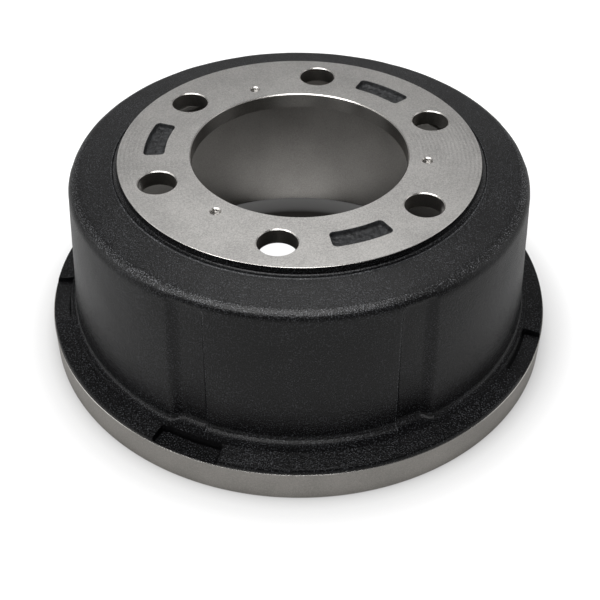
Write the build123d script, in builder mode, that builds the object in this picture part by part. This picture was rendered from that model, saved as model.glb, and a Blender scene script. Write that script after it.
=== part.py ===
"""Brake drum: one grey-iron casting, machined on the hub face, bore, holes, brake track and rim.

Frame: +Z up, millimetres. The origin is on the drum's own axis, in the plane of the open mouth
that the drum stands on. The hub face is on top and the front is -Y.
"""
import os
from math import cos, hypot, radians, sin, tan

from build123d import *

os.makedirs("parts", exist_ok=True)

# overall
height = 157.0              # mouth plane to hub face
rim_r = 200.5               # turned rim of the open end
rim_top = 25.0              # the turned band stops here and the cast skin begins
rim_chamfer = 0.8

# hub plate
hub_face_r = 136.5          # raised, faced seat for the wheel
hub_step = 5.4              # how far the seat stands above the cast shoulder
hub_edge = 0.5              # chamfer on the seat's outer edge
groove_r = 140.4            # shallow groove that the facing tool left round the seat
groove_depth = 0.9
groove_corner = 0.6
bore_r = 82.0               # centring bore
bore_chamfer = 0.8
plate_thick = 12.0          # hub plate at the bore
plate_flat_r = 125.0        # the plate keeps that thickness out to here
web_run = 15.0              # slope under the shoulder, outside the flat plate
web_fillet = 8.0

# stud holes, cast pockets and tapped holes in the hub plate
stud_count = 6
stud_pcd = 222.25
stud_hole_r = 14.0
stud_chamfer = 0.5
stud_phase = 81.6           # direction of the first stud hole, degrees from +X
pocket_count = 3            # pockets and tapped holes stand between every other pair of studs
pocket_in_r = 101.3
pocket_out_r = 117.4
pocket_half = 11.3          # half of a pocket's spread, degrees
pocket_corner = 3.5
pocket_depth = 5.0
screw_circle_r = 96.0       # the three tapped holes
screw_hole_r = 3.4          # core of an M8 thread
screw_chamfer = 0.5
sink_angle = 90             # full angle of the chamfers on all holes, degrees

# cast shoulder and barrel
shoulder_r = 138.5          # radius where the shoulder's cone is as high as the seat's foot
shoulder_slope = 6.9        # fall of the shoulder towards the barrel, degrees
pad_r = 174.0               # barrel on the raised pads, at the top of the wall
pad_roll = 10.0
pad_half = 30.2             # half of a pad's spread, degrees
pad_slope = 1.1             # half of the spread of a pad's sloping side, degrees
pad_foot = 1.9              # fillet between a pad and the ledge
panel_r = 169.7             # barrel on the lower panels, at the top of the wall
panel_roll = 6.5
panel_rise = 2.8            # a panel's wall ends this much higher than a pad's
panel_slope = 15.0          # start of the panel's rounded top edge, degrees from level
panel_half = 22.3           # half of a panel's spread between its two channels
channel_depth = 2.2         # upright channels on both sides of a panel
channel_top = 142.0
channel_corner = 4.0
draft = 6.9                 # growth of the barrel's radius from top to foot
foot_z = 37.9               # foot of the barrel's wall

# flange of the open end
ledge_z = 33.2              # narrow ledge at the foot of the wall
ledge_r = 183.2
flange_in_r = 185.0
flange_in_z = 30.4
flange_out_r = 198.6
flange_out_z = 28.8
flange_edge = 1.9
flange_round = 1.2
notch_in_r = 185.0
notch_half = 7.1            # half of a notch's spread, degrees
notch_angles = (-173.5, -114.6, -26.8)

# inside
track_r = 150.0             # brake track
track_top = 116.0
relief_r = 151.5            # run-out groove above the track
relief_top = 124.0
relief_lead = 1.5
mouth_chamfer = 1.5

panel_count = 3
panel_first = -90           # middle of the first panel; the pads stand halfway between panels

# reach of the cutting solids past the casting
clear = 10.0
zone_reach = 14.0           # a lower zone starts this far in over the shoulder
channel_lap = 2.0           # a channel runs this far into the next pad's side, degrees
side_in_reach = 4.0         # a pad's side runs on inwards, in lengths of the side itself
side_out_reach = 8.0


def polar(radius, angle):
    """Point at a radius and a direction in degrees."""
    return (radius * cos(radians(angle)), radius * sin(radians(angle)))


def shoulder_z(radius):
    """Height of the cast shoulder at a radius."""
    return seat_z - tan(radians(shoulder_slope)) * (radius - shoulder_r)


def roll_start(level_r, roll):
    """Where the sloping shoulder turns into the rounded edge of a wall, as (radius, height)."""
    centre_r, centre_z = roll_centre(level_r, roll)
    slope = radians(shoulder_slope)
    return (centre_r + roll * sin(slope), centre_z + roll * cos(slope))


def roll_centre(level_r, roll):
    """Centre of the rounded edge that touches both the shoulder and the wall."""
    slope = radians(shoulder_slope)
    centre_r = level_r - roll
    line_z = shoulder_z(centre_r)
    return (centre_r, line_z - roll / cos(slope))


def wall_r(level_r, z):
    """Radius of a drafted wall at a height, from its radius at the top of the wall."""
    return level_r + draft * (wall_top - z) / (wall_top - foot_z)


def ring(part, radius, z):
    """The circular edge round the axis at a radius and a height."""
    circles = part.edges().filter_by(GeomType.CIRCLE)
    return circles.filter_by(lambda e: hypot(e.radius - radius, e.bounding_box().min.Z - z) < 0.02)


seat_z = height - hub_step
plate_z = height - plate_thick
wall_top = roll_centre(pad_r, pad_roll)[1]
groove_z = seat_z - groove_depth
panel_top = wall_top + panel_rise
half_pitch = 180 / panel_count
stud_pitch = 360 / stud_count
pocket_pitch = 360 / pocket_count

with BuildPart() as brake_drum:
    # the turned body, with the barrel at the level of the pads all the way round
    with BuildSketch(Plane.XZ):
        with BuildLine():
            foot_r = wall_r(pad_r, ledge_z + pad_foot)
            Polyline(
                (bore_r, plate_z),
                (bore_r, height - bore_chamfer),
                (bore_r + bore_chamfer, height),
                (hub_face_r - hub_edge, height),
                (hub_face_r, height - hub_edge),
                (hub_face_r, groove_z + groove_corner),
            )
            RadiusArc(
                (hub_face_r, groove_z + groove_corner),
                (hub_face_r + groove_corner, groove_z),
                -groove_corner,
            )
            Polyline(
                (hub_face_r + groove_corner, groove_z),
                (groove_r, groove_z),
                (groove_r, shoulder_z(groove_r)),
                roll_start(pad_r, pad_roll),
            )
            RadiusArc(roll_start(pad_r, pad_roll), (pad_r, wall_top), pad_roll)
            Line((pad_r, wall_top), (foot_r, ledge_z + pad_foot))
            RadiusArc((foot_r, ledge_z + pad_foot), (foot_r + pad_foot, ledge_z), -pad_foot)
            Polyline(
                (foot_r + pad_foot, ledge_z),
                (ledge_r, ledge_z),
                (flange_in_r, flange_in_z),
                (flange_out_r, flange_out_z),
                (rim_r, flange_out_z - flange_edge),
                (rim_r, rim_chamfer),
                (rim_r - rim_chamfer, 0),
                (track_r + mouth_chamfer, 0),
                (track_r, mouth_chamfer),
                (track_r, track_top),
                (relief_r, track_top + relief_lead),
                (relief_r, relief_top),
                (plate_flat_r + web_run, plate_z - web_run),
                (plate_flat_r, plate_z),
                (bore_r, plate_z),
            )
        make_face()
    revolve(axis=Axis.Z)
    # soft corners inside, and rounded edges along the flange
    fillet(ring(brake_drum, plate_flat_r, plate_z), radius=web_fillet)
    fillet(ring(brake_drum, plate_flat_r + web_run, plate_z - web_run), radius=web_fillet)
    fillet(ring(brake_drum, ledge_r, ledge_z), radius=flange_round)
    fillet(ring(brake_drum, flange_in_r, flange_in_z), radius=flange_round)
    fillet(ring(brake_drum, flange_out_r, flange_out_z), radius=flange_round)

# one upright channel, as a solid to cut with; the corner beside the panel is rounded
with BuildPart() as channel:
    with BuildSketch(Plane.XZ):
        with BuildLine():
            Polyline(
                (wall_r(panel_r - channel_depth, channel_top), channel_top),
                (rim_r, channel_top),
                (rim_r, ledge_z),
                (wall_r(panel_r - channel_depth, ledge_z), ledge_z),
                close=True,
            )
        make_face()
    revolve(axis=Axis.Z, revolution_arc=half_pitch - pad_half - panel_half + channel_lap)
    near_panel = channel.faces().sort_by(Axis.Y)[0]
    fillet(near_panel.edges().sort_by(Axis.Z)[-1], radius=channel_corner)

# one lower zone, as a solid to cut with: a panel with its rounded top edge and two channels
with BuildPart() as lower_zone:
    with BuildSketch(Plane.XZ):
        with BuildLine():
            slope = radians(panel_slope)
            turn_r = panel_r - panel_roll * (1 - sin(slope))
            turn_z = panel_top + panel_roll * cos(slope)
            panel_foot_r = wall_r(panel_r, foot_z)
            foot_out = panel_foot_r + foot_z - ledge_z
            reach_r = turn_r - zone_reach
            reach_z = turn_z + zone_reach * tan(slope)
            Line((reach_r, reach_z), (turn_r, turn_z))
            RadiusArc((turn_r, turn_z), (panel_r, panel_top), panel_roll)
            Line((panel_r, panel_top), (panel_foot_r, foot_z))
            RadiusArc((panel_foot_r, foot_z), (foot_out, ledge_z), ledge_z - foot_z)
            Polyline(
                (foot_out, ledge_z),
                (rim_r, ledge_z),
                (rim_r, height + clear),
                (reach_r, height + clear),
                (reach_r, reach_z),
            )
        make_face()
    revolve(axis=Axis.Z)
    add(channel.part.rotate(Axis.Z, panel_half))
    add(channel.part.mirror(Plane.XZ).rotate(Axis.Z, -panel_half))
    # the sloping sides of the neighbouring pads
    with BuildSketch(Plane.XY):
        with BuildLine():
            low = Vector(*polar(panel_r - channel_depth, half_pitch - pad_half - pad_slope))
            high = Vector(*polar(pad_r, half_pitch - pad_half + pad_slope))
            start = low - (high - low) * side_in_reach
            end = low + (high - low) * side_out_reach
            Polyline(
                (start.X, start.Y),
                (end.X, end.Y),
                (rim_r + clear, end.Y),
                (rim_r + clear, -end.Y),
                (end.X, -end.Y),
                (start.X, -start.Y),
                close=True,
            )
        make_face()
    extrude(amount=height + clear, mode=Mode.INTERSECT)

with brake_drum:
    with PolarLocations(0, panel_count, start_angle=panel_first):
        add(lower_zone.part, mode=Mode.SUBTRACT)

    # notches in the flange, open to the rim
    for angle in notch_angles:
        with BuildSketch(Plane.XY.offset(rim_top)):
            with BuildLine():
                ThreePointArc(
                    polar(notch_in_r, angle - notch_half),
                    polar(notch_in_r, angle),
                    polar(notch_in_r, angle + notch_half),
                )
                Polyline(
                    polar(notch_in_r, angle + notch_half),
                    polar(rim_r + clear, angle + notch_half),
                    polar(rim_r + clear, angle - notch_half),
                    polar(notch_in_r, angle - notch_half),
                )
            make_face()
        extrude(amount=ledge_z - rim_top + clear, mode=Mode.SUBTRACT)

    # cast pockets in the hub face, halfway between every other pair of stud holes
    for k in range(pocket_count):
        angle = stud_phase - stud_pitch / 2 - k * pocket_pitch
        with BuildSketch(Plane.XY.offset(height)) as opening:
            with BuildLine():
                ThreePointArc(
                    polar(pocket_in_r, angle - pocket_half),
                    polar(pocket_in_r, angle),
                    polar(pocket_in_r, angle + pocket_half),
                )
                Line(
                    polar(pocket_in_r, angle + pocket_half),
                    polar(pocket_out_r, angle + pocket_half),
                )
                ThreePointArc(
                    polar(pocket_out_r, angle + pocket_half),
                    polar(pocket_out_r, angle),
                    polar(pocket_out_r, angle - pocket_half),
                )
                Line(
                    polar(pocket_out_r, angle - pocket_half),
                    polar(pocket_in_r, angle - pocket_half),
                )
            make_face()
            fillet(opening.vertices(), radius=pocket_corner)
        extrude(amount=-pocket_depth, mode=Mode.SUBTRACT)

    # stud holes and tapped holes, each with its chamfer
    with Locations((0, 0, height)):
        with PolarLocations(stud_pcd / 2, stud_count, start_angle=stud_phase):
            CounterSinkHole(
                radius=stud_hole_r,
                counter_sink_radius=stud_hole_r + stud_chamfer,
                counter_sink_angle=sink_angle,
            )
        with PolarLocations(screw_circle_r, pocket_count, start_angle=stud_phase + stud_pitch / 2):
            CounterSinkHole(
                radius=screw_hole_r,
                counter_sink_radius=screw_hole_r + screw_chamfer,
                counter_sink_angle=sink_angle,
            )

brake_drum.part.label = "brake_drum"
export_step(brake_drum.part, "parts/brake_drum.step")
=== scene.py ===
"""Brake drum: the looks of one grey-iron casting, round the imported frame.

Lengths are millimetres unless a name or comment says metres, with +Z up and the front at -Y, and
they become metres where a mesh is made. Angles are degrees from +X, counterclockwise from above.
"""
import math

import bmesh
import bpy
import numpy as np
from mathutils import Matrix, Vector
from mathutils.geometry import delaunay_2d_cdt


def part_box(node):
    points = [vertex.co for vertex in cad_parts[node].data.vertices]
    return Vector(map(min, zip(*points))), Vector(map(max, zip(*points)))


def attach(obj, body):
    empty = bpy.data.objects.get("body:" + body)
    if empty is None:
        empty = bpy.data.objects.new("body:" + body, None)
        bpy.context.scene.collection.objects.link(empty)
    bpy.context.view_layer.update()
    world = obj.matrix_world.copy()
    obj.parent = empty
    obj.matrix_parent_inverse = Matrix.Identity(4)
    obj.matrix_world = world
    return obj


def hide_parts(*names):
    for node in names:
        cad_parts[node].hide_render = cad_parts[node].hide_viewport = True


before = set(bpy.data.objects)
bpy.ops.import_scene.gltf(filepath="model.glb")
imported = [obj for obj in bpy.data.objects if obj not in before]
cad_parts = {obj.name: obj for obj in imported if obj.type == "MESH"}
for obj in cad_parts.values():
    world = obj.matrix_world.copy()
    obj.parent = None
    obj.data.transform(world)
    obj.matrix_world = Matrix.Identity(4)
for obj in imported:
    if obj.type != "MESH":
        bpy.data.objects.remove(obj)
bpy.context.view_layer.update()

MM = 0.001

# ---------------------------------------------------------------- sizes of the drum
NODE = "brake_drum"
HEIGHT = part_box(NODE)[1].z / MM     # mouth plane to hub face
RIM_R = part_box(NODE)[1].x / MM      # turned rim of the open end

RIM_TOP = 25.0              # the turned band stops here and the cast skin begins
RIM_CHAMFER = 0.8           # at the mouth
RIM_EDGE = 0.32             # chamfer at the top of the turned band
RIM_LAND = 0.55             # width from the cast skin's end to the rim

HUB_FACE_R = 136.5
HUB_EDGE = 0.25             # chamfer of the hub face
SEAT_Z = HEIGHT - 5.4       # cast shoulder at the foot of the raised seat
GROOVE_R = 140.4            # the facing tool left a shallow groove round the seat, out to here
GROOVE_DEPTH = 0.9
LIP_RISE = 0.5              # the groove's outer lip stands a little proud of the shoulder
LIP_END_R = GROOVE_R + 2.2
BORE_R = 82.0
BORE_CHAMFER = 0.8
PLATE_Z = HEIGHT - 12.0     # inner face of the hub plate
PLATE_FLAT_R = 129.0        # the stud holes leave through the flat, with the fillet outside them
WEB_RUN = 11.0              # the web falls WEB_DROP over this much radius outside the flat
WEB_DROP = 15.0
WEB_FILLET = 5.0

STUD_COUNT = 6
STUD_CIRCLE_R = 222.25 / 2
STUD_HOLE_R = 14.0
STUD_CHAMFER = 0.7
STUD_PHASE = 81.6
STUD_SIDES = 72
SCREW_CIRCLE_R = 96.0
SCREW_CORE_R = 3.4
SCREW_R = 4.0               # M8 thread
SCREW_PITCH = 1.25
SCREW_CHAMFER = 0.9
SCREW_SIDES = 40
SCREW_STATIONS = 60
POCKET_IN_R = 101.3
POCKET_OUT_R = 117.4
POCKET_HALF = 11.3          # half of the angle that a pocket spans
POCKET_CORNER = 3.5
POCKET_DEPTH = 5.0

SHOULDER_SLOPE = 6.9
PAD_R = 174.0               # a pad's face at the top of the wall, and at its foot
PAD_FOOT_R = 180.9
PAD_ROLL = 10.0             # radius of the rolled edge over a pad
PAD_HALF = 30.2             # half of the angle that a pad spans
PAD_SIDE = 1.5              # half of the spread of a pad's soft side, degrees
PAD_FOOT = 4.0              # fillet at a pad's foot
PANEL_R = 173.0             # the same for the lower panels
PANEL_FOOT_R = 176.6
PANEL_ROLL = 8.0
PANEL_HALF = 22.3
PANEL_FOOT = 4.7
PANEL_FIRST = -90.0         # middle of the front panel; the others are 120 degrees apart
CHANNEL_DEPTH = 2.2
CHANNEL_TOP = 142.0
CHANNEL_CORNER = 6.0
CHANNEL_SOFT = 1.35         # half of the run of a channel's soft side
FOOT_Z = 37.9               # height at which the foot radii hold

LEDGE_Z = 33.2
LEDGE_R = 183.2
FLANGE_IN_R = 185.0
FLANGE_IN_Z = 30.4
FLANGE_OUT_R = 198.6
FLANGE_OUT_Z = 28.8
NOTCH_IN_R = 185.6
NOTCH_HALF = 7.1            # half of the angle that a notch spans
NOTCH_ANGLES = (-173.5, -114.6, -26.8)
NOTCH_SOFT = 0.18           # half of the spread of a notch's end wall, degrees
NOTCH_RISE = 0.25           # a notch's floor lies this much over the turned band
NOTCH_WALL = 1.2            # run of a notch's inner wall
LEDGE_DROP = 0.5            # step at the ledge's outer edge
SKIN_STEP = 1.2             # the flange's rounded edge ends this much over the turned band

TRACK_R = 150.0
TRACK_TOP = 116.0
RELIEF_R = 151.5
RELIEF_TOP = 124.0
MOUTH_CHAMFER = 1.5

AROUND = 550                # points round the axis
SHOULDER_STATIONS = 10      # rings on the shoulder
ROLL_STATIONS = 13          # rings on the rolled edge
WALL_STATIONS = 44          # rings on the wall under it
SHARP_FROM = 32.0           # faces that meet at more degrees than this keep a sharp edge

# ---------------------------------------------------------------- scales of the finishes
WAVE_RADIANS = 20.0         # the wave texture turns this many radians per unit of its scale
PEBBLE_TIMES = 2.4          # the paint's pebbles are this many times as wide as its grain
PATCH_MM = 45.0             # patches with more and with less pale grain, a painted sparkle
CLOUD_MM = 28.0             # slow change of tone over a machined face
LUMP_MM = 3.0               # lumps on a pocket's floor
FEED_MARK_MM = 3.14         # turning rings on the hub face

# ---------------------------------------------------------------- light and floor
FLOOR_GLOW = 0.85           # the part of the floor's white that is its own
FOOT_SHARE = 0.092          # painted light on the floor beside the wall, inside the drum
GLOSS_SHARE = 0.11          # the floor's own white as gloss shows it
POOL_SHARE = 0.62           # the painted pool of light under the bore, as gloss shows it
POOL_Y = 0.111              # its middle, metres behind the drum's axis
ROOM_SHARE = 0.12           # the white backdrop as gloss shows it
FLOOR_R = 6000.0
FLOOR_SIDES = 96
# what the camera sees of the floor's own white, by distance from the axis in metres, with a painted
# pool of light under the bore, painted shade inside the drum and a painted shadow round the rim
FLOOR_LEVELS = [
    (0.092, 1.0), (0.109, 0.0),                         # painted pool under the bore, painted shade
    (0.130, 0.0), (0.134, 0.6 * FOOT_SHARE),            # painted light, paler beside the track
    (0.152, FOOT_SHARE), (0.156, 0.0),
    (0.190, 0.0), (0.2005, 0.46), (0.209, 0.50),        # painted shadow round the rim
    (0.218, 0.60), (0.240, FLOOR_GLOW), (0.900, 1.0),   # open floor, painted shade near the drum
]


# ---------------------------------------------------------------- small shape functions
def smooth(x):
    """0 below 0, 1 above 1, and three x squared less two x cubed between."""
    x = np.clip(x, 0.0, 1.0)
    return x * x * (3.0 - 2.0 * x)


def off_angle(angle, middle):
    """How far an angle is from another, from 0 to 180 degrees."""
    return np.abs((angle - middle + 180.0) % 360.0 - 180.0)


def from_panel(angle):
    """How far an angle is from the middle of the nearest lower panel, from 0 to 60 degrees."""
    return np.abs((angle - PANEL_FIRST + 60.0) % 120.0 - 60.0)


def arc(centre, radius, start, end, count):
    """Points (radius, height) on a circle round centre, from start to end in degrees."""
    t = np.radians(np.linspace(start, end, count))
    return np.stack([centre[0] + radius * np.cos(t), centre[1] + radius * np.sin(t)], axis=1)


def run(start, end, count):
    """Points from start to end, both ends among them."""
    t = np.linspace(0.0, 1.0, count)[:, None]
    return np.asarray(start) * (1.0 - t) + np.asarray(end) * t


def ripple(points, size, seed, waves=36):
    """A smooth random height, mostly from -1 to 1, with bumps of about that size in millimetres.

    It is a sum of plane cosine waves, cos(k . p + phase), with k of length 2 pi / size in random
    directions, divided by twice the root of half their number.
    """
    rng = np.random.default_rng(seed)
    way = rng.normal(size=(waves, 3))
    way /= np.linalg.norm(way, axis=1)[:, None]
    way *= 2.0 * np.pi / (size * rng.uniform(0.8, 1.35, waves))[:, None]
    phase = rng.uniform(0.0, 2.0 * np.pi, waves)
    total = np.zeros(points.shape[:-1])
    for k, p in zip(way, phase):
        total += np.cos(points @ k + p)
    return total / math.sqrt(waves / 2.0) / 2.0


def face_mean(values):
    """The mean of a value over each face of a band of rings, from its four corners."""
    nearby = (values + np.roll(values, -1, axis=1)) / 2.0
    return (nearby[1:] + nearby[:-1]) / 2.0


def directions():
    """Angles round the axis, closer together at the sides of pads, panels and notches.

    The spacing is the inverse of 1 plus a bell curve over each side: 2.2 high and 1.6 degrees wide
    at pads and panels, and 3 high and 0.7 degrees wide at a notch's ends.
    """
    fine = np.linspace(0.0, 360.0, 36001)
    sides = [PANEL_FIRST + 120.0 * k + s * e for k in range(3) for s in (-1, 1)
             for e in (PANEL_HALF, 60.0 - PAD_HALF)]
    ends = [a + s * NOTCH_HALF for a in NOTCH_ANGLES for s in (-1, 1)]
    density = np.ones_like(fine)
    for side in sides:
        density += 2.2 * np.exp(-(off_angle(fine, side) / 1.6) ** 2)
    for end in ends:
        density += 3.0 * np.exp(-(off_angle(fine, end) / 0.7) ** 2)
    grown = np.concatenate([[0.0], np.cumsum((density[1:] + density[:-1]) / 2.0)])
    return np.interp(np.arange(AROUND) / AROUND * grown[-1], grown, fine)


ANGLE = directions()
COS = np.cos(np.radians(ANGLE))
SIN = np.sin(np.radians(ANGLE))


def turned(profile):
    """Rings (stations, angles, 3) from a profile of (radius, height) turned round the axis."""
    r = profile[:, 0][:, None]
    z = profile[:, 1][:, None]
    return np.stack([r * COS, r * SIN, z + 0.0 * COS], axis=-1)


# ---------------------------------------------------------------- the cast outside
def shoulder_z(r):
    """Height of the cast shoulder at a radius: a cone that falls outwards."""
    return SEAT_Z - math.tan(math.radians(SHOULDER_SLOPE)) * (r - HUB_FACE_R - 2.0)


def side_profile(level_r, low_r, roll, foot):
    """The outside from the groove to the ledge, for a wall at one level.

    A cone, a quarter turn of radius roll that touches the cone and the wall, the drafted wall,
    and a fillet of radius foot down to the ledge.
    """
    slope = math.radians(SHOULDER_SLOPE)
    tilt = math.atan((low_r - level_r) / (WALL_TOP - FOOT_Z))
    centre_r = level_r - roll
    centre_z = shoulder_z(centre_r) - roll / math.cos(slope)
    edge = arc((centre_r, centre_z), roll, 90.0 - SHOULDER_SLOPE, math.degrees(tilt), ROLL_STATIONS)
    lip = (LIP_END_R, shoulder_z(LIP_END_R))
    shoulder = run(lip, edge[0], SHOULDER_STATIONS + 2)[1:-1]
    bend_z = LEDGE_Z + foot
    foot_r = level_r + math.tan(tilt) * (WALL_TOP - bend_z)
    wall_end = (foot_r - foot * (1.0 - math.cos(tilt)), bend_z)
    wall = run(edge[-1], wall_end, WALL_STATIONS)[1:]
    fillet = arc((foot_r + foot, bend_z), foot, 180.0, 270.0, 8)[1:]
    return np.concatenate([shoulder, edge, wall, fillet])


WALL_TOP = shoulder_z(PAD_R - PAD_ROLL) - PAD_ROLL / math.cos(math.radians(SHOULDER_SLOPE))


def outside():
    """The cast skin: rings from the lip of the groove, over the barrel, to the foot's ledge.

    Each direction's profile is a mix of a panel's and a pad's, and the channels are pressed in.
    It also gives where a painted highlight goes: the edge between a panel and its channel.
    """
    panel = side_profile(PANEL_R, PANEL_FOOT_R, PANEL_ROLL, PANEL_FOOT)
    pad = side_profile(PAD_R, PAD_FOOT_R, PAD_ROLL, PAD_FOOT)
    away = from_panel(ANGLE)
    on_pad = smooth((away - (60.0 - PAD_HALF) + PAD_SIDE) / (2.0 * PAD_SIDE))
    profile = panel[:, None, :] + on_pad[None, :, None] * (pad - panel)[:, None, :]
    r, z = profile[..., 0], profile[..., 1]
    # a channel is a rounded rectangle beside a panel, in arc length across and in height
    across = np.radians(away - PANEL_HALF)[None, :] * r
    up = CHANNEL_TOP - z
    corner = CHANNEL_CORNER
    rounded = corner - np.hypot(np.minimum(across - corner, 0.0), np.minimum(up - corner, 0.0))
    at_corner = (across < corner) & (up < corner)
    within = np.where(at_corner, rounded, np.minimum(across, up))
    pressed = smooth(within / CHANNEL_SOFT * 0.5 + 0.5) * (1.0 - on_pad)[None, :]
    r = r - CHANNEL_DEPTH * pressed
    middle = face_mean(pressed)
    # faces on a panel's edge of its channel, which get a painted highlight
    painted_edge_highlight = ((middle > 0.01) & (middle < 0.25) & (away < PANEL_HALF + 2.0)[None, :]
              & (z[1:] < CHANNEL_TOP - 2.0))
    return np.stack([r * COS, r * SIN, z], axis=-1), painted_edge_highlight


def flange(start_r):
    """The flange's cast top: rings from the barrel's foot to the turned rim, with three notches.

    A narrow ledge, a step down, a slow fall outwards and a quarter ellipse at the outer edge.
    Inside a notch the height drops to the notch's floor over steep walls. start_r is the foot's
    radius in each direction. It also gives which faces are a notch's walls.
    """
    ledge_r = np.maximum(LEDGE_R, start_r + 0.2)
    inner_r = np.maximum(FLANGE_IN_R, ledge_r + 1.3)
    skin_end = RIM_R - RIM_LAND
    share = np.linspace(0.0, 1.0, 14)[:, None]
    last = np.array([FLANGE_OUT_R - 0.4, FLANGE_OUT_R + 0.3, RIM_R - 1.0, skin_end - 0.1, skin_end])
    r = np.concatenate([
        [(start_r + ledge_r) / 2.0, ledge_r, ledge_r + 0.4],
        inner_r * (1.0 - share) + (FLANGE_OUT_R - 1.0) * share,
        last[:, None] + 0.0 * start_r,
    ])
    fall = np.clip((r - inner_r) / (FLANGE_OUT_R - inner_r), 0.0, 1.0)
    top = FLANGE_IN_Z + (FLANGE_OUT_Z - FLANGE_IN_Z) * fall
    top[:3] = np.array([LEDGE_Z, LEDGE_Z, LEDGE_Z - LEDGE_DROP])[:, None]
    edge = np.clip((r - FLANGE_OUT_R) / (skin_end - FLANGE_OUT_R), 0.0, 1.0)
    top = top - (FLANGE_OUT_Z - RIM_TOP - SKIN_STEP) * (1.0 - np.sqrt(1.0 - edge ** 2))
    depth = np.zeros_like(ANGLE)
    for middle in NOTCH_ANGLES:
        past_end = NOTCH_HALF + NOTCH_SOFT - off_angle(ANGLE, middle)
        depth = np.maximum(depth, np.clip(past_end / (2.0 * NOTCH_SOFT), 0.0, 1.0))
    inner = np.clip((r - np.maximum(NOTCH_IN_R, inner_r + 0.4)) / NOTCH_WALL, 0.0, 1.0)
    sunk = depth * inner
    z = top * (1.0 - sunk) + (RIM_TOP + NOTCH_RISE) * sunk
    steep = face_mean(sunk)
    return np.stack([r * COS, r * SIN, z], axis=-1), (steep > 0.03) & (steep < 0.97)


def grain(rings, share):
    """Rings pushed along their normals by the low swells of a sand casting.

    The height is 0.09 mm times a ripple 26 mm wide plus 0.03 mm times one 11 mm wide, times the
    share of each ring.
    """
    along = np.gradient(rings, axis=0)
    round_ = (np.roll(rings, -1, axis=1) - np.roll(rings, 1, axis=1)) / 2.0
    normal = np.cross(along, round_)
    normal /= np.linalg.norm(normal, axis=-1)[..., None]
    swell = 0.09 * ripple(rings, 26.0, 3) + 0.03 * ripple(rings, 11.0, 4)
    return rings + normal * (swell * share[:, None])[..., None]


# ---------------------------------------------------------------- building one closed mesh
class Shell:
    """Collects patches of points and faces, each face with the number of its finish."""

    def __init__(self):
        self.points, self.faces, self.finish, self.count = [], [], [], 0

    def add(self, points, faces, finish):
        """points is (n, 3) in millimetres and faces holds the patch's own point numbers."""
        self.points.append(np.asarray(points, float).reshape(-1, 3))
        self.faces.append(np.asarray(faces) + self.count)
        self.finish.append(np.broadcast_to(np.asarray(finish), (len(faces),)))
        self.count += len(self.points[-1])

    def rings(self, rings, finish, outward=True):
        """A closed band of quads through rings (stations, round, 3).

        finish is one number, one per band between stations, or one per face.
        """
        stations, around = rings.shape[:2]
        i = np.arange(stations - 1)[:, None] * around
        j = np.arange(around)[None, :]
        k = (j + 1) % around
        quads = np.stack([i + j, i + around + j, i + around + k, i + k], axis=-1)
        if not outward:
            quads = quads[..., ::-1]
        finish = np.asarray(finish)
        if finish.ndim < 2:
            finish = finish.reshape(-1, 1)
        bands = np.broadcast_to(finish, (stations - 1, around))
        self.add(rings, quads.reshape(-1, 4), bands.reshape(-1))


def plate_fill(shell, loops, z, finish, up):
    """A flat face at one height between the first loop and all the others, which are its holes."""
    flat = [Vector(point) for point in np.concatenate(loops)[:, :2].tolist()]
    ends = np.cumsum([0] + [len(loop) for loop in loops]).tolist()
    outlines = [list(range(a, b)) for a, b in zip(ends, ends[1:])]
    points, _, faces, _, _, inside = delaunay_2d_cdt(flat, [], outlines, 0, 1e-5)
    xy = np.array([(p.x, p.y) for p in points])
    # a face that lies in the first loop alone is solid, and its points have to run one way round
    tri = np.array([face for face, within in zip(faces, inside) if within == [0]])
    a, b, c = xy[tri[:, 0]], xy[tri[:, 1]], xy[tri[:, 2]]
    area = (b[:, 0] - a[:, 0]) * (c[:, 1] - a[:, 1]) - (b[:, 1] - a[:, 1]) * (c[:, 0] - a[:, 0])
    tri[area < 0] = tri[area < 0][:, ::-1]
    if not up:
        tri = tri[:, ::-1]
    shell.add(np.column_stack([xy, np.full(len(xy), z)]), tri, finish)


def hole_rings(centre_angle, circle_r, sections, count):
    """Rings of a round hole about an upright axis, from its sections of (radius, height)."""
    r, z = np.array(sections, float).T[..., None]
    t = np.linspace(0.0, 2.0 * np.pi, count, endpoint=False)
    cx = circle_r * math.cos(math.radians(centre_angle))
    cy = circle_r * math.sin(math.radians(centre_angle))
    return np.stack([cx + r * np.cos(t), cy + r * np.sin(t), z + 0.0 * t], axis=-1)


def thread_rings(centre_angle):
    """A tapped hole with a chamfered mouth.

    The wall's radius is a triangle wave of height less turns round, times the pitch, and the wave
    fades out over one pitch at both ends.
    """
    top, low = HEIGHT - SCREW_CHAMFER, PLATE_Z
    unit = [(1.0, z) for z in np.linspace(top, low, SCREW_STATIONS)]
    rings = hole_rings(centre_angle, SCREW_CIRCLE_R, unit, SCREW_SIDES)
    cx = SCREW_CIRCLE_R * math.cos(math.radians(centre_angle))
    cy = SCREW_CIRCLE_R * math.sin(math.radians(centre_angle))
    z = rings[..., 2]
    turn = np.arange(SCREW_SIDES)[None, :] / SCREW_SIDES
    wave = np.abs(((z / SCREW_PITCH - turn) % 1.0) * 2.0 - 1.0)
    fade = smooth((top - z) / SCREW_PITCH) * smooth((z - low) / SCREW_PITCH)
    r = SCREW_CORE_R + (SCREW_R - SCREW_CORE_R) * wave * fade
    rings[..., 0] = cx + (rings[..., 0] - cx) * r
    rings[..., 1] = cy + (rings[..., 1] - cy) * r
    mouth = hole_rings(centre_angle, SCREW_CIRCLE_R, [(SCREW_CORE_R + SCREW_CHAMFER, HEIGHT)],
                       SCREW_SIDES)
    return np.concatenate([mouth, rings])


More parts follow.
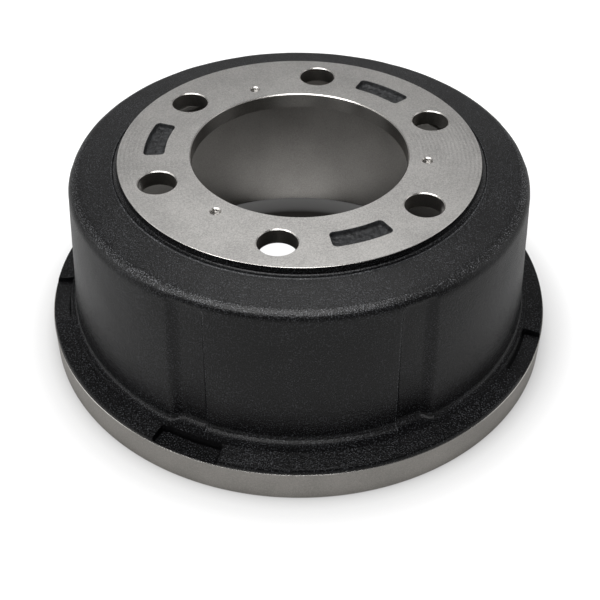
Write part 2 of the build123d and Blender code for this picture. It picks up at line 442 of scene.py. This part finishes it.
def pocket_rings(middle, seed):
    """A cast pocket: rings of a rounded rectangle that shrinks to a line, wrapped round the axis.

    Each ring is the outline moved inwards, and its depth follows a worn edge, a drafted wall, a
    round at the floor, and a coarse floor.
    """
    mean_r = (POCKET_IN_R + POCKET_OUT_R) / 2.0
    half_u = math.radians(POCKET_HALF) * mean_r
    half_v = (POCKET_OUT_R - POCKET_IN_R) / 2.0
    inset = np.concatenate([[0.0, 0.2, 0.5, 0.65, 0.8, 1.0, 1.4, 2.0, 2.7],
                            np.linspace(3.4, half_v, 9)])
    fall = np.interp(inset, [0.0, 0.35, 0.65, 0.9, 1.4, 2.4, 3.4],
                     [0.0, 0.4, 2.2, 3.1, 3.8, 4.3, POCKET_DEPTH - 0.5])
    side_u, side_v, turn = 34, 12, 9
    rings = []
    for d, depth in zip(inset, fall):
        a, b = half_u - d, half_v - d
        c = max(POCKET_CORNER - d, 0.0)
        quarter = np.radians(np.linspace(0.0, 90.0, turn))
        corner = np.stack([a - c + c * np.cos(quarter), b - c + c * np.sin(quarter)], axis=1)
        top = run((a - c, b), (-(a - c), b), side_u)[1:-1]
        right = run((a, -(b - c)), (a, b - c), side_v)[1:-1]
        half = np.concatenate([right, corner, top, corner[::-1] * (-1.0, 1.0)])
        outline = np.concatenate([half, -half])[::-1]
        rings.append(np.column_stack([outline, np.full(len(outline), -depth)]))
    rings = np.array(rings)
    u, v, depth = rings[..., 0], rings[..., 1], rings[..., 2]
    rough = smooth((inset - 0.5) / 1.5)[:, None]
    place = np.stack([u, v, 0.0 * u], axis=-1)
    lump = 0.35 * ripple(place, 6.0, seed) + 0.25 * ripple(place, 2.6, seed + 1)
    r = mean_r + v
    t = np.radians(middle) + u / mean_r
    return np.stack([r * np.cos(t), r * np.sin(t), HEIGHT + depth + lump * rough], axis=-1)


def seat_profile():
    """The seat from its chamfered edge down, the groove round it, and the groove's outer lip.

    A straight wall, a small round into the groove, the groove's flat floor, and a lip that
    stands over the shoulder's cone and runs out on it.
    """
    groove_z = SEAT_Z - GROOVE_DEPTH
    lip_z = shoulder_z(GROOVE_R) + LIP_RISE
    return np.array([
        (HUB_FACE_R - HUB_EDGE, HEIGHT),
        (HUB_FACE_R, HEIGHT - HUB_EDGE),
        (HUB_FACE_R, HEIGHT - 2.5),
        (HUB_FACE_R, SEAT_Z + 0.4),
        (HUB_FACE_R + 0.15, SEAT_Z - 0.4),
        (HUB_FACE_R + 0.7, groove_z + 0.1),
        (HUB_FACE_R + 1.5, groove_z),
        (GROOVE_R - 1.0, groove_z),
        (GROOVE_R - 0.35, groove_z + 0.2),
        (GROOVE_R, shoulder_z(GROOVE_R) + 0.02),
        (GROOVE_R + 0.35, lip_z),
        (GROOVE_R + 0.75, lip_z - 0.06),
        (GROOVE_R + 1.3, shoulder_z(GROOVE_R + 1.3) + 0.08),
        (LIP_END_R, shoulder_z(LIP_END_R)),
    ])


def cast_outside(seat, finish):
    """The cast skin from the seat's wall to the turned rim, with the finish of each face."""
    barrel, painted_edge_highlight = outside()
    foot, steep = flange(np.hypot(barrel[-1, :, 0], barrel[-1, :, 1]))
    cast = np.concatenate([seat[1:-1], barrel, foot])
    swell = np.ones(len(cast))
    swell[:4] = 0.0                                 # the turned wall of the seat
    swell[4:13] = 0.3                               # the groove and its lip
    swell[-5:] = [0.6, 0.4, 0.2, 0.0, 0.0]          # down to nothing at the rim
    skin = np.full((len(cast) - 1, AROUND), finish["painted"])
    # the flange's top: coarser paint, darker and less glossy as painted shade under the barrel
    skin[len(cast) - len(foot) - 4:] = finish["flange"]
    first = len(seat) - 2                           # the first band outside the lip
    # painted highlight along the edge between a panel and its channel
    skin[first:first + len(painted_edge_highlight)][painted_edge_highlight] = finish["painted_edge_highlight"]
    skin[first - 3:first - 1] = finish["painted_edge_highlight"]    # painted highlight along the groove's lip
    # painted shade on the notches' end walls: a darker finish with little gloss
    skin[-len(steep):][steep] = finish["walls"]
    roll = first + SHOULDER_STATIONS
    skin[roll + 1:roll + 6] = finish["rolled"]      # painted highlight of sparks on the upper half of the rolled edge
    return grain(cast, swell), skin


def inside(finish):
    """The inside from the rim's mouth to the hub plate, with the finish of each band.

    A flat mouth, a chamfer, the bored track, its relief, a cone up to the web, the web's steeper
    cone, and a fillet that touches the web and the plate's flat.
    """
    slope = math.atan2(WEB_DROP, WEB_RUN)
    fillet_r = PLATE_FLAT_R - WEB_FILLET * math.tan(slope / 2.0)
    corner = (PLATE_FLAT_R + WEB_RUN, PLATE_Z - WEB_DROP)
    fillet = arc((fillet_r, PLATE_Z - WEB_FILLET), WEB_FILLET, 90.0, 90.0 - math.degrees(slope), 8)
    mouth = [(r, 0.0) for r in (RIM_R - RIM_CHAMFER, 182.0, 165.0, TRACK_R + MOUTH_CHAMFER)]
    track = run((TRACK_R, MOUTH_CHAMFER), (TRACK_R, TRACK_TOP), 12)
    relief = [(RELIEF_R, TRACK_TOP + 1.5), (RELIEF_R, RELIEF_TOP)]
    cone = run((RELIEF_R, RELIEF_TOP), corner, 4)[1:]
    web = run(corner, fillet[-1], 5)[1:-1]
    profile = np.concatenate([mouth, track, relief, cone, web, fillet[::-1]])
    bands = np.full(len(profile) - 1, finish["inner"])
    bored = len(mouth) - 1
    bands[:bored] = finish["mouth"]
    bands[bored:bored + 1 + len(track) + len(relief) + len(cone)] = finish["bored"]
    return turned(profile), bands


def cut_holes(shell, finish):
    """The walls of all holes and pockets. It gives their outlines on the hub face and under it."""
    on_top, under = [], []
    stud = [(STUD_HOLE_R + STUD_CHAMFER, HEIGHT), (STUD_HOLE_R, HEIGHT - STUD_CHAMFER),
            (STUD_HOLE_R, HEIGHT - 6.0), (STUD_HOLE_R, PLATE_Z)]
    holes = [(hole_rings(STUD_PHASE - 60.0 * k, STUD_CIRCLE_R, stud, STUD_SIDES), "drilled")
             for k in range(STUD_COUNT)]
    holes += [(thread_rings(STUD_PHASE + 30.0 + 120.0 * k), "tapped") for k in range(3)]
    for rings, wall in holes:
        shell.rings(rings[:2], finish["chamfer"], outward=False)
        shell.rings(rings[1:], finish[wall], outward=False)
        on_top.append(rings[0])
        under.append(rings[-1])
    for k in range(3):
        rings = pocket_rings(STUD_PHASE - 30.0 - 120.0 * k, 40 + 10 * k)
        shell.rings(rings, finish["pocket"])
        on_top.append(rings[0])
    return on_top, under


def drum_mesh(finish):
    """The whole casting as one closed shell; finish gives the number of each finish by name."""
    shell = Shell()
    seat = turned(seat_profile())
    # the hub face's chamfer, with the chamfer finish's painted highlight
    shell.rings(seat[:2], finish["chamfer"])
    cast, skin = cast_outside(seat, finish)
    shell.rings(cast, skin)

    rim = turned(np.array([
        (RIM_R - RIM_LAND, RIM_TOP), (RIM_R - RIM_EDGE, RIM_TOP), (RIM_R, RIM_TOP - RIM_EDGE),
        (RIM_R, RIM_TOP - 8.0), (RIM_R, RIM_CHAMFER + 6.0), (RIM_R, RIM_CHAMFER),
        (RIM_R - RIM_CHAMFER, 0.0)]))
    shell.rings(np.concatenate([cast[-1:], rim[:1]]), finish["flange"])
    shell.rings(rim[:3], finish["chamfer"])
    shell.rings(rim[2:], finish["rim"])

    hollow, bands = inside(finish)
    shell.rings(hollow, bands)
    bore = turned(np.array([
        (BORE_R, PLATE_Z), (BORE_R, PLATE_Z + 4.0), (BORE_R, HEIGHT - BORE_CHAMFER),
        (BORE_R + BORE_CHAMFER, HEIGHT)]))
    shell.rings(bore[:3], finish["bored"])
    shell.rings(bore[2:], finish["chamfer"])

    on_top, under = cut_holes(shell, finish)
    plate_fill(shell, [seat[0], bore[-1]] + on_top, HEIGHT, finish["faced"], True)
    plate_fill(shell, [hollow[-1], bore[0]] + under, PLATE_Z, finish["inner"], False)
    return shell


def make_object(name, shell, materials):
    """One mesh from the shell, in metres, with its doubles merged and its sharp edges marked."""
    points = np.concatenate(shell.points) * MM
    faces = [f for patch in shell.faces for f in patch.tolist()]
    mesh = bpy.data.meshes.new(name)
    mesh.from_pydata(points.tolist(), [], faces)
    for material in materials:
        mesh.materials.append(material)
    mesh.polygons.foreach_set("material_index", np.concatenate(shell.finish).astype(np.int32))
    made = bmesh.new()
    made.from_mesh(mesh)
    bmesh.ops.remove_doubles(made, verts=made.verts, dist=2e-6)
    bmesh.ops.dissolve_degenerate(made, edges=made.edges, dist=1e-7)
    bmesh.ops.recalc_face_normals(made, faces=made.faces)
    open_edges = sum(1 for e in made.edges if len(e.link_faces) != 2)
    print("open or shared edges:", open_edges, "faces:", len(made.faces))
    made.to_mesh(mesh)
    made.free()
    mesh.polygons.foreach_set("use_smooth", np.ones(len(mesh.polygons), bool))
    mesh.set_sharp_from_angle(angle=math.radians(SHARP_FROM))
    mesh.update()
    thing = bpy.data.objects.new(name, mesh)
    bpy.context.scene.collection.objects.link(thing)
    return thing


# ---------------------------------------------------------------- materials
def linear(code):
    """An sRGB hex colour as linear red, green, blue and a full alpha."""
    parts = [int(code.lstrip("#")[i:i + 2], 16) / 255.0 for i in (0, 2, 4)]
    bent = [c / 12.92 if c <= 0.04045 else ((c + 0.055) / 1.055) ** 2.4 for c in parts]
    return (*bent, 1.0)


def add_node(tree, kind, settings=None, inputs=None, links=None):
    """A node with its settings, its input values, and links given as input: (node, output)."""
    node = tree.nodes.new(kind)
    for key, value in (settings or {}).items():
        setattr(node, key, value)
    for key, value in (inputs or {}).items():
        node.inputs[key].default_value = value
    for key, (source, output) in (links or {}).items():
        tree.links.new(source.outputs[output], node.inputs[key])
    return node


def new_material(name):
    """An empty node material, and the node that gives Object coordinates."""
    material = bpy.data.materials.new(name)
    material.use_nodes = True
    tree = material.node_tree
    tree.nodes.clear()
    return material, tree, add_node(tree, "ShaderNodeTexCoord")


def per_metre(size_mm):
    """Scale of a noise texture with grains about that many millimetres across: 1000 / size."""
    return 1000.0 / size_mm


def rings_per_metre(spacing_mm):
    """Scale of a wave texture with that many millimetres between rings: 2 pi / (20 spacing)."""
    return math.tau / (WAVE_RADIANS * spacing_mm * MM)


def painted_cast_iron(name, grain_mm, depth_mm, gloss, base, glint):
    """Black paint on a sand-cast skin: a dark pebbled coat, half gloss, with painted pale sparkle.

    Grain and pebbles push the normal, and the colour turns pale where the grain is high, more so
    in some patches: the pale grains are painted highlights, a painted sparkle. The real sand grain
    is 0.2 to 0.4 mm. It is too fine to show in the render, so it is drawn as coarse as it needs
    to show.
    """
    material, tree, where = new_material(name)
    at = {"Vector": (where, "Object")}
    pebble = add_node(tree, "ShaderNodeTexNoise",
                      inputs={"Scale": per_metre(grain_mm * PEBBLE_TIMES), "Detail": 1.0}, links=at)
    fine = add_node(tree, "ShaderNodeTexNoise",
                    inputs={"Scale": per_metre(grain_mm), "Detail": 1.0}, links=at)
    patch = add_node(tree, "ShaderNodeTexNoise",
                     inputs={"Scale": per_metre(PATCH_MM), "Detail": 3.0}, links=at)
    speck = add_node(tree, "ShaderNodeMath", {"operation": "MULTIPLY_ADD"}, {1: 0.2},
                     {0: (patch, "Fac"), 2: (fine, "Fac")})
    # painted sparkle: pale colour on the grain's high spots, more in some patches
    pale = add_node(tree, "ShaderNodeMapRange", inputs={"From Min": 0.66, "From Max": 0.80},
                    links={"Value": (speck, "Value")})
    colour = add_node(tree, "ShaderNodeMix", {"data_type": "RGBA"},
                      {6: linear(base), 7: linear(glint)}, {0: (pale, "Result")})
    coarse = add_node(tree, "ShaderNodeBump",
                      inputs={"Strength": 1.0, "Distance": depth_mm * 0.8 * MM},
                      links={"Height": (pebble, "Fac")})
    skin = add_node(tree, "ShaderNodeBump", inputs={"Strength": 1.0, "Distance": depth_mm * MM},
                    links={"Height": (fine, "Fac"), "Normal": (coarse, "Normal")})
    shader = add_node(tree, "ShaderNodeBsdfPrincipled",
                      inputs={"Specular IOR Level": gloss, "Roughness": 0.26},
                      links={"Base Color": (colour, 2), "Normal": (skin, "Normal")})
    add_node(tree, "ShaderNodeOutputMaterial", links={"Surface": (shader, "BSDF")})
    return material


def bare_iron(name, dark, light, roughness, grain_mm, ring_mm=0.0, ring_strength=0.0,
              anisotropic=0.0):
    """Machined grey cast iron: a warm grey metal with fine grain, and turning rings where asked.

    The tone runs from dark to light with three parts of grain and one of slow clouds. Real feed
    marks are 0.2 to 0.4 mm apart and real grain is finer still. Both are too fine to show in the
    render, so they are drawn as coarse as they need to show.
    """
    material, tree, where = new_material(name)
    at = {"Vector": (where, "Object")}
    fleck = add_node(tree, "ShaderNodeTexNoise",
                     inputs={"Scale": per_metre(grain_mm), "Detail": 3.0, "Roughness": 0.6},
                     links=at)
    cloud = add_node(tree, "ShaderNodeTexNoise",
                     inputs={"Scale": per_metre(CLOUD_MM), "Detail": 2.0}, links=at)
    slow = add_node(tree, "ShaderNodeMath", {"operation": "MULTIPLY"}, {1: 0.25},
                    {0: (cloud, "Fac")})
    both = add_node(tree, "ShaderNodeMath", {"operation": "MULTIPLY_ADD"}, {1: 0.75},
                    {0: (fleck, "Fac"), 2: (slow, "Value")})
    tone = add_node(tree, "ShaderNodeMapRange", inputs={"From Min": 0.38, "From Max": 0.62},
                    links={"Value": (both, "Value")})
    colour = add_node(tree, "ShaderNodeMix", {"data_type": "RGBA"},
                      {6: linear(dark), 7: linear(light)}, {0: (tone, "Result")})
    bump = add_node(tree, "ShaderNodeBump", inputs={"Strength": 0.25, "Distance": 0.25 * MM},
                    links={"Height": (fleck, "Fac")})
    if ring_mm:
        rings = add_node(tree, "ShaderNodeTexWave",
                         {"wave_type": "RINGS", "rings_direction": "Z", "wave_profile": "SIN"},
                         {"Scale": rings_per_metre(ring_mm), "Distortion": 0.6,
                          "Detail": 2.0, "Detail Scale": 2.0}, at)
        bump = add_node(tree, "ShaderNodeBump",
                        inputs={"Strength": ring_strength, "Distance": 0.2 * MM},
                        links={"Height": (rings, "Fac"), "Normal": (bump, "Normal")})
    shader = add_node(tree, "ShaderNodeBsdfPrincipled",
                      inputs={"Metallic": 1.0, "Roughness": roughness,
                              "Anisotropic": anisotropic, "Anisotropic Rotation": 0.25},
                      links={"Base Color": (colour, 2), "Normal": (bump, "Normal")})
    add_node(tree, "ShaderNodeOutputMaterial", links={"Surface": (shader, "BSDF")})
    return material


def pocket_iron():
    """As-cast iron under black paint: lumpy and dull, darker in the hollows and lighter on the
    lumps.
    """
    material, tree, where = new_material("coarse_cast_iron_under_black_paint")
    lump = add_node(tree, "ShaderNodeTexNoise",
                    inputs={"Scale": per_metre(LUMP_MM), "Detail": 5.0, "Roughness": 0.65},
                    links={"Vector": (where, "Object")})
    tone = add_node(tree, "ShaderNodeMapRange", inputs={"From Min": 0.35, "From Max": 0.65},
                    links={"Value": (lump, "Fac")})
    # the colour follows the lumps' height: darker in the hollows, lighter on the lumps
    colour = add_node(tree, "ShaderNodeMix", {"data_type": "RGBA"},
                      {6: linear("#0c0c0d"), 7: linear("#3a3b3d")}, {0: (tone, "Result")})
    bump = add_node(tree, "ShaderNodeBump", inputs={"Strength": 0.8, "Distance": 1.2 * MM},
                    links={"Height": (lump, "Fac")})
    shader = add_node(tree, "ShaderNodeBsdfPrincipled",
                      inputs={"Roughness": 0.5, "Specular IOR Level": 0.5},
                      links={"Base Color": (colour, 2), "Normal": (bump, "Normal")})
    add_node(tree, "ShaderNodeOutputMaterial", links={"Surface": (shader, "BSDF")})
    return material


def make_materials():
    """All finishes by name, in the order of the mesh's material slots.

    Paint takes grain, depth, gloss, colour and colour of its pale grains, a painted sparkle.
    Bare iron takes its darker and lighter tone, roughness, grain, and the spacing and strength of
    turning rings.
    """
    return {
        # shoulder and barrel: a black coat with a soft sheen, and fine pale grains as painted
        # sparkle
        "painted": painted_cast_iron("black_paint_on_sand_cast_iron_with_painted_sparkle",
                                     0.85, 0.24, 0.42, "#070708", "#3c3d40"),
        # top of the flange: deeper grain; less gloss and a darker colour are painted shade under
        # the barrel, so the ring looks blacker and rougher
        "flange": painted_cast_iron("black_paint_on_coarse_sand_cast_iron_with_painted_shade",
                                    0.9, 0.28, 0.20, "#050506", "#3e3f42"),
        # end walls of the notches: a darker colour and nearly no sheen or sparkle, painted shade in
        # the cuts
        "walls": painted_cast_iron("black_paint_with_painted_shade_on_notch_walls",
                                   0.9, 0.20, 0.12, "#030304", "#0c0c0d"),
        # rolled edge of the barrel: the strongest grain, and bright pale grains in its colour as a
        # painted highlight of sparks
        "rolled": painted_cast_iron("black_paint_with_painted_sparkle_on_rolled_edge",
                                    0.85, 0.36, 0.46, "#0a0a0b", "#6a6b6e"),
        # edges of the channels and the groove's lip: a lighter grey colour, a painted highlight
        # that shows as a faint grey line with pale grains
        "painted_edge_highlight": painted_cast_iron("black_paint_lightened_as_painted_highlight_on_edges",
                                    0.85, 0.24, 0.42, "#242527", "#6a6b6e"),
        # hub face: silky light grey with faint turning rings
        "faced": bare_iron("fine_faced_grey_cast_iron",
                           "#9f9d9b", "#c2c0bd", 0.34, 0.9, FEED_MARK_MM, 0.12),
        # small chamfers: a much lighter grey than the faces, a painted highlight that shows as thin
        # bright lines
        "chamfer": bare_iron("grey_cast_iron_chamfer_with_painted_highlight", "#d0cdc9", "#e6e3de", 0.25, 0.6),
        # turned rim: a matt warm grey band with a wide soft highlight
        "rim": bare_iron("turned_rim_grey_cast_iron", "#aaa7a2", "#c2beb9", 0.5, 0.8),
        # track and bore: highlights stretched upright by the tool's rings
        "bored": bare_iron("bored_grey_cast_iron", "#9c9995", "#b2afab", 0.30, 0.8,
                           anisotropic=1.0),
        # stud holes: a plain drilled wall, mid grey
        "drilled": bare_iron("drilled_grey_cast_iron", "#b0ada9", "#c6c3bf", 0.34, 0.8),
        # threads: smoother and darker, so their flanks glint one by one
        "tapped": bare_iron("tapped_grey_cast_iron", "#8f8c88", "#aeaba7", 0.28, 0.6),
        # mouth: a plain faced ring that stands on the floor
        "mouth": bare_iron("faced_mouth_grey_cast_iron", "#8b8681", "#a29d97", 0.45, 0.8),
        # inner face and web: duller, with a darker browner grey as painted shade inside the drum
        "inner": bare_iron("faced_inner_plate_grey_cast_iron_with_painted_shade", "#6e6a66", "#85807b", 0.5, 0.9),
        # floor and walls of the pockets: rough black, darker in the hollows and lighter on the
        # lumps
        "pocket": pocket_iron(),
    }


# ---------------------------------------------------------------- the stage
def floor_share(tree, where, centre_y, levels):
    """A share by distance from a point of the floor on the drum's middle plane, in metres.

    levels holds (distance, share), and the share runs straight from one to the next.
    """
    place = add_node(tree, "ShaderNodeVectorMath", {"operation": "SUBTRACT"},
                     {1: (0.0, centre_y, 0.0)}, {0: (where, "Object")})
    away = add_node(tree, "ShaderNodeVectorMath", {"operation": "LENGTH"},
                    links={0: (place, "Vector")})
    curve = add_node(tree, "ShaderNodeValToRGB", links={"Fac": (away, "Value")})
    stops = curve.color_ramp.elements
    while len(stops) < len(levels):
        stops.new(0.5)
    for stop, (distance, level) in zip(stops, levels):
        stop.position, stop.color = distance, (level, level, level, 1.0)
    return curve


def make_floor():
    """A large round pale floor under the drum's mouth.

    Its diffuse part takes the light and the drum's shadow, and its colour is dark under the drum
    as painted shade. Its own white is added for the camera, for gloss and for transmission, with a
    painted pool of light under the bore, painted shade inside the drum and a painted shadow round
    the rim.
    """
    t = np.linspace(0.0, 2.0 * np.pi, FLOOR_SIDES, endpoint=False)
    ring = np.column_stack([FLOOR_R * np.cos(t), FLOOR_R * np.sin(t), 0.0 * t]) * MM
    mesh = bpy.data.meshes.new("floor")
    mesh.from_pydata(ring.tolist(), [], [list(range(FLOOR_SIDES))])
    floor = bpy.data.objects.new("floor", mesh)
    bpy.context.scene.collection.objects.link(floor)
    material, tree, where = new_material("pale_floor_with_painted_light_and_shade")
    path = add_node(tree, "ShaderNodeLightPath")
    # the camera's share, with the painted pool, painted shade and painted shadow of FLOOR_LEVELS
    direct = floor_share(tree, where, 0.0, FLOOR_LEVELS)
    round_it = floor_share(tree, where, 0.0, [(0.190, 0.0), (0.210, 1.0)])
    # a painted pool of light under the bore, as gloss sees it
    pool = floor_share(tree, where, POOL_Y, [(0.026, POOL_SHARE), (0.052, 0.0)])
    # painted shade: the floor's colour is dark under the drum
    shade = add_node(tree, "ShaderNodeMix", {"data_type": "RGBA"},
                     {6: linear("#3c3a38"), 7: linear("#a8a8a8")}, {0: (round_it, "Color")})
    plain = add_node(tree, "ShaderNodeBsdfDiffuse", links={"Color": (shade, 2)})
    for_camera = add_node(tree, "ShaderNodeMath", {"operation": "MULTIPLY"},
                          links={0: (path, "Is Camera Ray"), 1: (direct, "Color")})
    shown = add_node(tree, "ShaderNodeMath", {"operation": "MULTIPLY_ADD"}, {1: GLOSS_SHARE},
                     {0: (round_it, "Color"), 2: (pool, "Color")})
    for_gloss = add_node(tree, "ShaderNodeMath", {"operation": "MULTIPLY"},
                         links={0: (path, "Is Glossy Ray"), 1: (shown, "Value")})
    seen = add_node(tree, "ShaderNodeMath", {"operation": "MAXIMUM"},
                    links={0: (for_camera, "Value"), 1: (for_gloss, "Value")})
    share = add_node(tree, "ShaderNodeMath", {"operation": "MAXIMUM"},
                     links={0: (seen, "Value"), 1: (path, "Is Transmission Ray")})
    glow = add_node(tree, "ShaderNodeEmission", inputs={"Color": (1.0, 1.0, 1.0, 1.0)},
                    links={"Strength": (share, "Value")})
    both = add_node(tree, "ShaderNodeAddShader", links={0: (plain, "BSDF"), 1: (glow, "Emission")})
    add_node(tree, "ShaderNodeOutputMaterial", links={"Surface": (both, "Shader")})
    mesh.materials.append(material)
    return floor


def make_world():
    """A dim room, brighter behind the drum, and white where the camera looks past the floor."""
    world = bpy.data.worlds.new("studio")
    bpy.context.scene.world = world
    world.use_nodes = True
    tree = world.node_tree
    tree.nodes.clear()
    path = add_node(tree, "ShaderNodeLightPath")
    sky = add_node(tree, "ShaderNodeTexCoord")
    part = add_node(tree, "ShaderNodeSeparateXYZ", links={"Vector": (sky, "Generated")})
    share = add_node(tree, "ShaderNodeMapRange", {"interpolation_type": "SMOOTHSTEP"},
                     {"From Min": -0.5, "From Max": 0.6}, {"Value": (part, "Y")})
    tone = add_node(tree, "ShaderNodeMix", {"data_type": "RGBA"},
                    {6: linear("#262626"), 7: linear("#767676")}, {0: (share, "Result")})
    room = add_node(tree, "ShaderNodeBackground", inputs={"Strength": 1.0},
                    links={"Color": (tone, 2)})
    white = add_node(tree, "ShaderNodeBackground",
                     inputs={"Color": (1.0, 1.0, 1.0, 1.0), "Strength": 1.0})
    gloss = add_node(tree, "ShaderNodeMath", {"operation": "MULTIPLY"}, {1: ROOM_SHARE},
                     {0: (path, "Is Glossy Ray")})
    straight = add_node(tree, "ShaderNodeMath", {"operation": "MAXIMUM"},
                        links={0: (path, "Is Camera Ray"), 1: (path, "Is Transmission Ray")})
    seen = add_node(tree, "ShaderNodeMath", {"operation": "MAXIMUM"},
                    links={0: (straight, "Value"), 1: (gloss, "Value")})
    mixed = add_node(tree, "ShaderNodeMixShader",
                     links={0: (seen, "Value"), 1: (room, "Background"), 2: (white, "Background")})
    add_node(tree, "ShaderNodeOutputWorld", links={"Surface": (mixed, "Shader")})


def add_softbox(name, place, aim, size, power):
    """A rectangular area lamp at place, in metres, that points at aim."""
    data = bpy.data.lights.new(name, "AREA")
    data.shape = "RECTANGLE"
    data.size, data.size_y = size
    data.energy = power
    lamp = bpy.data.objects.new(name, data)
    lamp.location = place
    lamp.rotation_mode = "QUATERNION"
    lamp.rotation_quaternion = (Vector(aim) - Vector(place)).to_track_quat("-Z", "Y")
    bpy.context.scene.collection.objects.link(lamp)
    return lamp


def make_lights():
    """Soft boxes: a large one overhead, one in front on the left, one behind, one on each side."""
    add_softbox("softbox_top", (0.0, -0.95, 2.1), (0.0, -0.95, 0.0), (1.3, 2.5), 34.0)
    add_softbox("softbox_front", (-1.15, -0.8, 1.85), (0.0, 0.0, 0.1), (0.9, 1.1), 13.0)
    add_softbox("softbox_back", (0.0, 1.5, 1.9), (0.0, 0.0, 0.12), (1.2, 1.2), 5.6)
    add_softbox("softbox_left", (-1.5, -0.1, 0.7), (0.0, 0.0, 0.08), (0.9, 1.2), 3.0)
    add_softbox("softbox_right", (1.5, 0.0, 0.7), (0.0, 0.0, 0.08), (0.9, 1.2), 2.0)


def make_camera():
    """The camera: its place, a slight look to one side, a small roll, and a small upward shift."""
    place = Vector((-10.655, -649.713, 594.502)) * MM
    pitch, yaw, roll = 0.6790581, 0.0175735, 0.0062846
    focal_px, frame_px, centre_px = 1035.78, 600.0, 240.0
    level = math.cos(pitch)
    ahead = Vector((math.sin(yaw) * level, math.cos(yaw) * level, -math.sin(pitch)))
    right = Vector((math.cos(yaw), -math.sin(yaw), 0.0))
    up = right.cross(ahead)
    turned_right = math.cos(roll) * right + math.sin(roll) * up
    turned_up = -math.sin(roll) * right + math.cos(roll) * up
    data = bpy.data.cameras.new("camera")
    data.sensor_width = 36.0
    data.lens = focal_px / frame_px * data.sensor_width
    data.shift_y = (centre_px - frame_px / 2.0) / frame_px
    data.clip_start, data.clip_end = 0.05, 50.0
    camera = bpy.data.objects.new("camera", data)
    axes = Matrix((turned_right, turned_up, -ahead)).transposed().to_4x4()
    camera.matrix_world = Matrix.Translation(place) @ axes
    bpy.context.scene.collection.objects.link(camera)
    bpy.context.scene.camera = camera


# ---------------------------------------------------------------- the scene
bpy.context.scene.view_settings.view_transform = "Standard"
make_camera()
make_world()
make_lights()
make_floor()

FINISHES = make_materials()
numbers = {name: n for n, name in enumerate(FINISHES)}
drum = make_object("drum_casting", drum_mesh(numbers), list(FINISHES.values()))
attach(drum, "root")
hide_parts(NODE)
